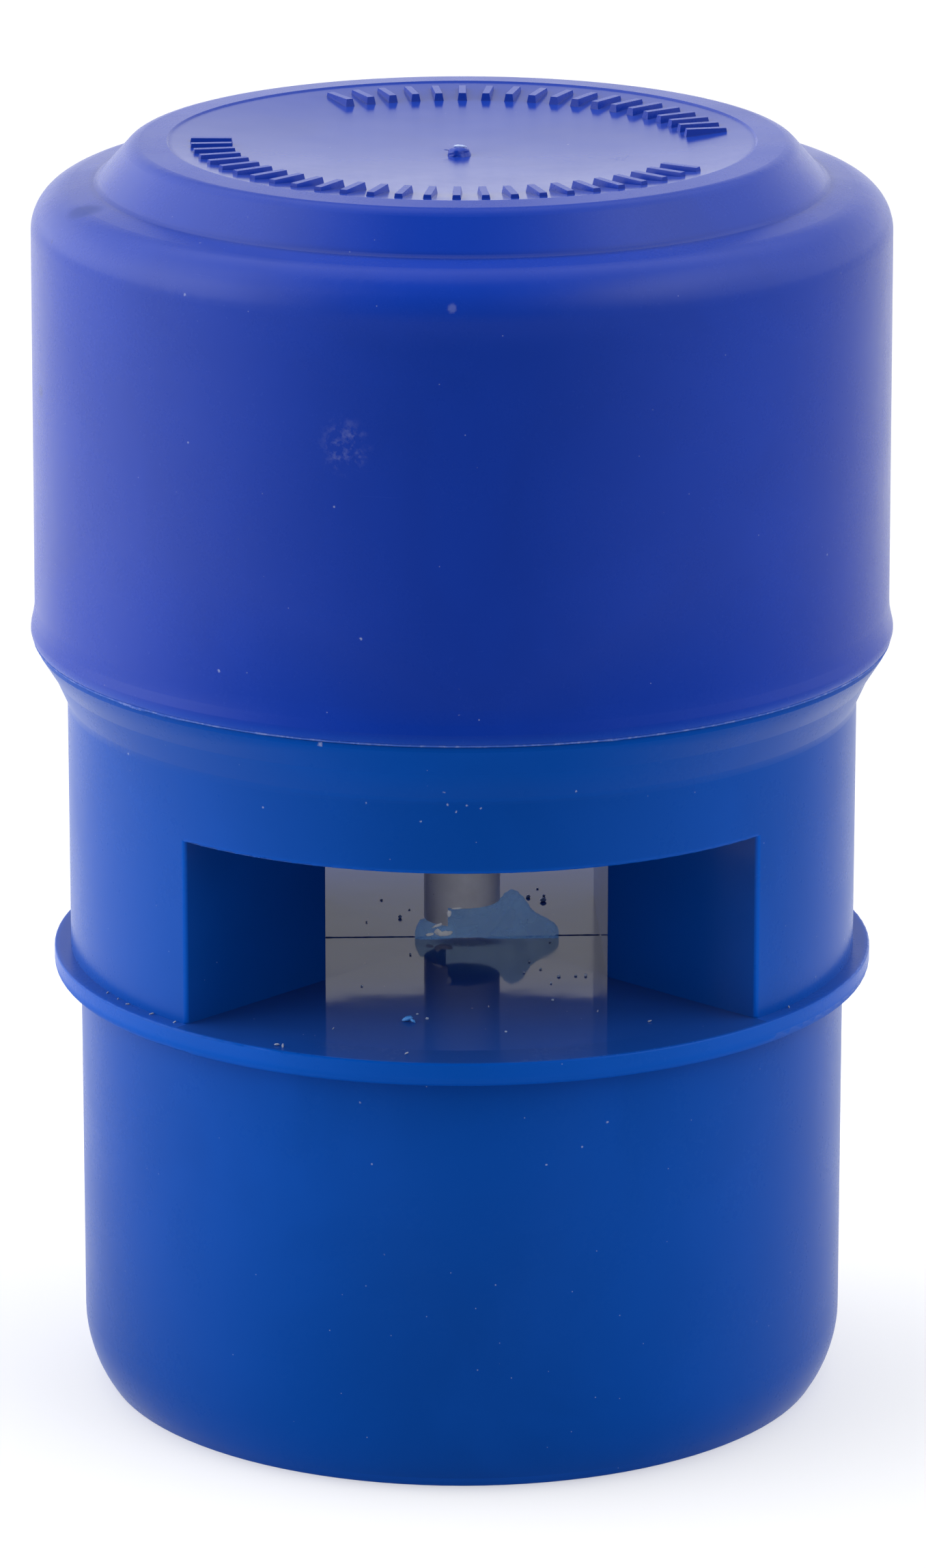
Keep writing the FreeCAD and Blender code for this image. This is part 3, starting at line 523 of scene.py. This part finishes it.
def make_flash():
    """Thin film with folds, thicker at the foot, its upper edge ragged."""
    bm = bmesh.new()
    nu, nv = 190, 44
    sheets = []
    for face in (-1, 1):
        rows = []
        for i in range(nu + 1):
            u = i / nu
            x = -3.1 + 9.44 * u
            ragged = 0.05 * noise.noise(Vector((x * 3.1, 0.7, 2.2))) + 0.025 * noise.noise(Vector((x * 9.0, 3.1, 1.2)))
            top = curve(TOP, x) + ragged
            low = 0.03 + 0.16 * math.exp(-((x - 0.4) / 1.5) ** 2) * 0.6
            row = []
            for j in range(nv + 1):
                v = j / nv
                h = low + (top - low) * v
                # the film leans and ripples about the parting plane
                lean = -0.40 - 0.10 * math.sin(1.1 * x + 0.6) * v + 0.07 * noise.noise(Vector((x * 0.9, h * 0.8, 5.0)))
                fold = 0.10 * noise.noise(Vector((x * 1.3 + h * 0.9, h * 1.6, 9.0))) + 0.02 * noise.noise(Vector((x * 3.2, h * 3.4, 4.0)))
                crease = 0.10 * math.exp(-((x - 1.55 - 0.75 * h) / 0.14) ** 2) + 0.07 * math.exp(-((x - 3.9 - 0.9 * (h - 1.0)) / 0.16) ** 2)
                thick = (0.30 - 0.13 * v) * min(1.0, (1 - v) * 9 + 0.18) * min(1.0, min(u, 1 - u) * 30 + 0.15)
                foot = 0.10 * math.exp(-h / 0.35)
                y = lean + (fold - crease) * 0.8 + face * (thick + foot)
                y = max(-0.95, min(0.12, y))
                row.append(bm.verts.new((x * MM, y * MM, (FLOOR_Z + h) * MM)))
            rows.append(row)
        sheets.append(rows)
    front, back = sheets
    for rows, flip in ((front, False), (back, True)):
        for i in range(nu):
            for j in range(nv):
                f = [rows[i][j], rows[i + 1][j], rows[i + 1][j + 1], rows[i][j + 1]]
                bm.faces.new(f[::-1] if flip else f)
    for i in range(nu):
        bm.faces.new([front[i][nv], front[i + 1][nv], back[i + 1][nv], back[i][nv]])
        bm.faces.new([front[i + 1][0], front[i][0], back[i][0], back[i + 1][0]])
    for i in (0, nu):
        for j in range(nv):
            bm.faces.new([front[i][j], front[i][j + 1], back[i][j + 1], back[i][j]])
    m, s, b = material("flash_film")
    p, x, y, z, r = s.place()
    cloud = s.noise(p, 0.9, 1.5, 0.45, 0.4)
    fine = s.noise(p, 7.0, 3.0)
    tone = s.mix(s.smooth(cloud, 0.35, 0.7), (0.27, 0.56, 1.0), (0.41, 0.69, 1.0))
    white = s.smooth(s.noise(p, 1.2, 1.5, 0.5), 0.56, 0.78)
    tone = s.mix(s.mul(white, 0.12), tone, (0.80, 0.86, 0.93))
    s.put(b.inputs["Base Color"], tone)
    s.put(b.inputs["Roughness"], s.plus(0.5, s.mul(fine, 0.15)))
    s.put(b.inputs["Normal"], s.bump(cloud, 1.0e-4, 0.15, s.bump(fine, 1.0e-5, 0.03)))
    # painted light: the film glows faintly blue, standing in for light shining through it from behind
    b.inputs["Emission Color"].default_value = (0.08, 0.42, 1.0, 1.0)
    b.inputs["Emission Strength"].default_value = 0.055
    see_through(s, b, s.smooth(cloud, 0.25, 0.75, 0.77, 0.66), (0.76, 0.89, 1.0))
    obj = new_piece("flash_film", bm, "housing", m)
    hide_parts("flash_scrap")
    return m


def flake(bm, centre, size, turn, seed, lift=0.0, lumps=9):
    """A small torn chip: a ragged thin plate with a crumpled face."""
    rnd = random.Random(seed)
    n, rings = 30, 5
    ca, sa = math.cos(turn), math.sin(turn)
    edge = [1.0 + 0.30 * noise.noise(Vector((math.cos(6.2832 * k / n) * 1.7, math.sin(6.2832 * k / n) * 1.7, seed))) + rnd.uniform(-0.09, 0.09)
            for k in range(n)]
    layers = []
    for side in (-1, 1):
        rows = []
        for q in range(rings + 1):
            row = []
            for k in range(n):
                a = 6.2832 * k / n
                rr = edge[k] * q / rings
                lx, lz = size[0] * rr * math.cos(a), size[2] * rr * math.sin(a)
                dome = size[1] * (1 - (q / rings) ** 3) * side
                crumple = size[1] * 0.8 * noise.noise(Vector((lx * lumps * 0.35, lz * lumps * 0.35, seed * 1.7)))
                px, pz = ca * lx - sa * lz, sa * lx + ca * lz
                row.append(bm.verts.new(((centre[0] + px) * MM, (centre[1] + dome + crumple) * MM,
                                         (centre[2] + pz + lift * abs(px)) * MM)))
            rows.append(row)
        layers.append(rows)
    for rows in layers:
        for q in range(1, rings):
            for k in range(n):
                k2 = (k + 1) % n
                bm.faces.new([rows[q][k], rows[q][k2], rows[q + 1][k2], rows[q + 1][k]])
        bm.faces.new(rows[1])
        bmesh.ops.delete(bm, geom=rows[0], context="VERTS")
    # the two faces meet at the rim
    bmesh.ops.weld_verts(bm, targetmap={c: a for a, c in zip(layers[0][rings], layers[1][rings])})


def make_shreds():
    white = simple("stress_white_glow", (0.86, 0.87, 0.89), (0.95, 0.95, 0.96), 0.6, 2.0, 9.0, 3e-5)
    lit = next(n for n in white.node_tree.nodes if n.type == "BSDF_PRINCIPLED")
    # painted light: the shreds glow faintly, standing in for light shining through them
    lit.inputs["Emission Color"].default_value = (0.9, 0.95, 1.0, 1.0)
    lit.inputs["Emission Strength"].default_value = 0.075
    bm = bmesh.new()
    flake(bm, (-1.15, -0.88, FLOOR_Z + 0.47), (0.52, 0.05, 0.17), 0.12, 3.0)
    flake(bm, (-1.62, -0.86, FLOOR_Z + 0.55), (0.26, 0.05, 0.20), -0.5, 5.0)
    flake(bm, (-2.15, -0.86, FLOOR_Z + 0.40), (0.30, 0.04, 0.10), 0.2, 8.0)
    new_piece("whitened_shreds", bm, "housing", white)
    bm = bmesh.new()
    flake(bm, (-0.93, -2.34, FLOOR_Z + 2.28), (0.15, 0.05, 0.26), 0.1, 11.0)
    flake(bm, (-0.42, -2.50, FLOOR_Z + 2.68), (0.34, 0.05, 0.06), 0.05, 14.0)
    flake(bm, (-1.55, -2.02, FLOOR_Z + 1.42), (0.45, 0.05, 0.10), 0.35, 17.0)
    new_piece("stem_burr", bm, "closing_disc", white)


def make_crumbs():
    """Bits of swarf and dust that lie on the channel floor and on the flange."""
    dark = simple("crumb_blue", (0.26, 0.34, 0.52), (0.40, 0.48, 0.64), 0.5, 3.0, 9.0, 2e-5)
    spots = [(4.70, 8.4, 0.20), (5.66, 7.5, 0.26), (5.40, 10.3, 0.13), (5.75, 8.6, 0.15), (-3.96, 4.1, 0.20), (-3.3, 5.9, 0.11),
             (-3.5, -4.0, 0.13), (5.96, -9.0, 0.17), (7.06, -8.9, 0.13), (5.4, -10.4, 0.11), (4.2, -5.8, 0.10), (4.85, -7.4, 0.11),
             (3.75, -8.1, 0.11), (5.7, -1.6, 0.09), (7.7, -8.9, 0.14), (-6.2, 3.2, 0.10), (-5.1, 8.1, 0.12),
             (-2.8, -17.6, 0.15), (-3.4, -16.6, 0.12), (5.34, -14.0, 0.13), (-6.8, -10.6, 0.10), (2.1, -20.4, 0.10)]
    rnd = random.Random(21)
    bm = bmesh.new()
    for k, (x, y, size) in enumerate(spots):
        part = bmesh.new()
        bmesh.ops.create_icosphere(part, subdivisions=3, radius=1.0)
        size *= 0.75
        a, b, c = size * rnd.uniform(0.8, 1.25), size * rnd.uniform(0.7, 1.1), size * rnd.uniform(0.55, 0.8)
        turn = rnd.uniform(0, 3.14)
        for v in part.verts:
            d = 1 + 0.34 * noise.noise(v.co * 1.5 + Vector((k * 3.7, 0, 1))) + 0.14 * noise.noise(v.co * 4.0 + Vector((0, k * 2.3, 5)))
            q = Vector((v.co.x * a, v.co.y * b, v.co.z * c)) * d
            v.co = Vector((x + q.x * math.cos(turn) - q.y * math.sin(turn), y + q.x * math.sin(turn) + q.y * math.cos(turn),
                           FLOOR_Z + 0.82 * c + max(q.z, -0.8 * c))) * MM
        mesh = bpy.data.meshes.new("tmp")
        part.to_mesh(mesh)
        part.free()
        bm.from_mesh(mesh)
        bpy.data.meshes.remove(mesh)
    new_piece("floor_crumbs", bm, "housing", dark)
    chip = simple("chip_blue", (0.02, 0.20, 0.62), (0.10, 0.34, 0.80), 0.5, 3.0, 9.0, 2e-5)
    bm = bmesh.new()
    flake(bm, (-4.05, -18.0, FLOOR_Z + 0.17), (0.34, 0.15, 0.17), 0.25, 71.0)
    flake(bm, (-3.72, -18.25, FLOOR_Z + 0.12), (0.18, 0.12, 0.11), -0.6, 74.0)
    new_piece("floor_chip", bm, "housing", chip)
    pale = simple("dust_pale", (0.16, 0.20, 0.34), (0.40, 0.43, 0.52), 0.7, 3.0, 9.0, 2e-5)
    bm = bmesh.new()
    for k, (x, y, z, size) in enumerate([(-12.4, -22.6, FLOOR_Z, 0.17), (11.3, -18.6, FLOOR_Z, 0.13), (-4.3, -24.6, FLOOR_Z, 0.13),
                                         (-8.8, -19.4, FLOOR_Z, 0.09), (8.1, -16.4, FLOOR_Z, 0.09), (1.2, -15.2, FLOOR_Z, 0.08)]):
        flake(bm, (x, y, z + size * 0.5), (size, size * 0.45, size * 0.45), 0.3 * k, 31.0 + k)
    for k, (x, y, size) in enumerate([(-21.67, -13.77, 0.12), (-20.16, -15.86, 0.14), (-18.71, -17.58, 0.11), (-22.99, -11.43, 0.10),
                                      (-22.38, -12.76, 0.09), (-12.41, -23.61, 0.16), (20.4, -16.0, 0.10), (9.3, 24.2, 0.12), (-24.0, 9.6, 0.11)]):
        scale = 25.86 / math.hypot(x, y)
        flake(bm, (x * scale, y * scale, FLOOR_Z + size * 0.3), (size * 1.2, size * 0.4, size * 0.4), 0.3 * k, 61.0 + k)
    new_piece("floor_lint", bm, "housing", pale)


def ridge(bm, points, half, tall):
    """A low ridge with sloping sides along the points, each (x, y, z) in mm."""
    rows = []
    for i, (x, y, z) in enumerate(points):
        h = tall * (0.75 + 0.35 * noise.noise(Vector((x * 2.0, y, 3.0))))
        w = half * (0.9 + 0.3 * noise.noise(Vector((x * 1.4, y, 8.0))))
        if i in (0, len(points) - 1):
            h *= 0.25
        rows.append([bm.verts.new(((x) * MM, (y + o * w) * MM, (z + e * h) * MM))
                     for o, e in ((-1, 0.02), (-0.35, 0.9), (0.35, 1.0), (1, 0.02))])
    for a, b in zip(rows, rows[1:]):
        for k in range(3):
            bm.faces.new([a[k], a[k + 1], b[k + 1], b[k]])
        bm.faces.new([a[3], a[0], b[0], b[3]])
    bm.faces.new(rows[0])
    bm.faces.new(rows[-1][::-1])


def make_parting_line():
    bm = bmesh.new()
    for x0, x1, n in ((-9.05, -3.05, 46), (6.1, 9.05, 24)):
        ridge(bm, [(x0 + (x1 - x0) * i / n, -0.05 + 0.03 * noise.noise(Vector(((x0 + (x1 - x0) * i / n) * 0.8, 2.0, 0))), FLOOR_Z)
                   for i in range(n + 1)], 0.10, 0.07)
    new_piece("core_parting_line", bm, "housing", MATS["valve_body"])


# ------------------------------------------------------------------ ragged flash round the cap's lower edge
def make_cap_flash():
    """A hair-thin line of flash under the cap's edge, with a few torn shreds."""
    bm = bmesh.new()
    n = 2200
    rows = []
    r0, z0 = 27.74, 50.31
    shreds = [(-51.5, 1.3, 0.8), (-49.6, 1.0, 1.0), (-48.1, 0.8, 0.9), (-44.1, 0.9, 0.7), (-41.8, 1.0, 0.6), (18.0, 1.2, 0.5),
              (73.0, 1.5, 0.7), (128.0, 2.0, 0.6), (-120.0, 1.8, 0.7), (-87.0, 1.0, 0.5), (164.0, 1.6, 0.6)]
    for i in range(n):
        a = 2 * math.pi * i / n
        c, s = math.cos(a), math.sin(a)
        bearing = math.degrees(math.atan2(c, -s))
        fine = noise.noise(Vector((c * 38, s * 38, 4.0)))
        tiny = noise.noise(Vector((c * 140, s * 140, 7.0)))
        amount = 0.22 + 0.12 * fine + 0.10 * tiny
        for middle, half, much in shreds:
            off = (bearing - middle + 180.0) % 360.0 - 180.0
            amount += much * math.exp(-(off / half) ** 2) * (0.75 + 0.5 * tiny)
        amount = max(0.06, amount)
        drop = 0.02 + 0.09 * amount
        out = 0.02 + 0.055 * amount
        ring = [(r0 - 0.09, z0 + 0.01), (r0 - 0.03, z0 - drop), (r0 + 0.04 + out, z0 - drop * 0.5), (r0 + 0.085, z0 + 0.10)]
        rows.append([bm.verts.new((r * c * MM, r * s * MM, z * MM)) for r, z in ring])
    for i in range(n):
        a, b = rows[i], rows[(i + 1) % n]
        for k in range(4):
            bm.faces.new([a[k], a[(k + 1) % 4], b[(k + 1) % 4], b[k]])
    m, s, b = material("edge_flash")
    p, x, y, z, r = s.place()
    worn = s.noise(p, 1.4, 4.0, 0.7)
    torn = s.math("MAXIMUM", s.smooth(z, 50.19, 50.26, 1.0, 0.0), s.mul(s.smooth(worn, 0.45, 0.7), 0.25))
    tone = s.mix(torn, (0.03, 0.095, 0.44), (0.52, 0.57, 0.78))
    s.put(b.inputs["Base Color"], tone)
    s.put(b.inputs["Roughness"], s.plus(0.5, s.mul(worn, 0.2)))
    b.inputs["Specular IOR Level"].default_value = 0.15
    s.put(b.inputs["Normal"], s.bump(s.noise(p, 6.0, 3.0), 3e-5, 0.6))
    new_piece("cap_edge_flash", bm, "cap", m)


def make_gate():
    """Stub of the sprue in the middle of the cap's top: a torn knob with a leaning tip."""
    bm = bmesh.new()
    n, rings = 48, 18
    rows = []
    for q in range(rings + 1):
        t = q / rings
        row = []
        for k in range(n):
            a = 2 * math.pi * k / n
            c, s = math.cos(a), math.sin(a)
            r = (0.70 - 0.10 * t) * (1 if t < 0.7 else math.sqrt(max(0.0, 1 - ((t - 0.7) / 0.3) ** 2)) * 0.98 + 0.02)
            r *= 1 + 0.16 * noise.noise(Vector((c * 1.3, s * 1.3, t * 1.5 + 3.0))) + 0.06 * noise.noise(Vector((c * 4, s * 4, t * 4)))
            h = 0.40 * t + 0.05 * noise.noise(Vector((c * r * 2.4, s * r * 2.4, 6.0))) * t
            row.append(bm.verts.new(((c * r - 0.25 + 0.05 * t) * MM, (s * r) * MM, (81.60 + min(h * 1.4, 0.60)) * MM)))
        rows.append(row)
    for a, b in zip(rows, rows[1:]):
        for k in range(n):
            k2 = (k + 1) % n
            bm.faces.new([a[k], a[k2], b[k2], b[k]])
    bm.faces.new(rows[0][::-1])
    bm.faces.new(rows[-1])
    flake(bm, (-0.92, 0.02, 81.98), (0.24, 0.03, 0.025), -0.1, 41.0)
    new_piece("gate_stub", bm, "cap", MATS["cap"])
    bm = bmesh.new()
    flake(bm, (-0.10, 0.33, 82.16), (0.42, 0.10, 0.10), -0.06, 44.0)
    tear = simple("tear_pale", (0.34, 0.45, 0.78), (0.55, 0.64, 0.90), 0.5, 2.0, 9.0, 2e-5)
    new_piece("gate_tear", bm, "cap", tear)


make_flash()
make_shreds()
make_crumbs()
make_parting_line()
make_cap_flash()
make_gate()
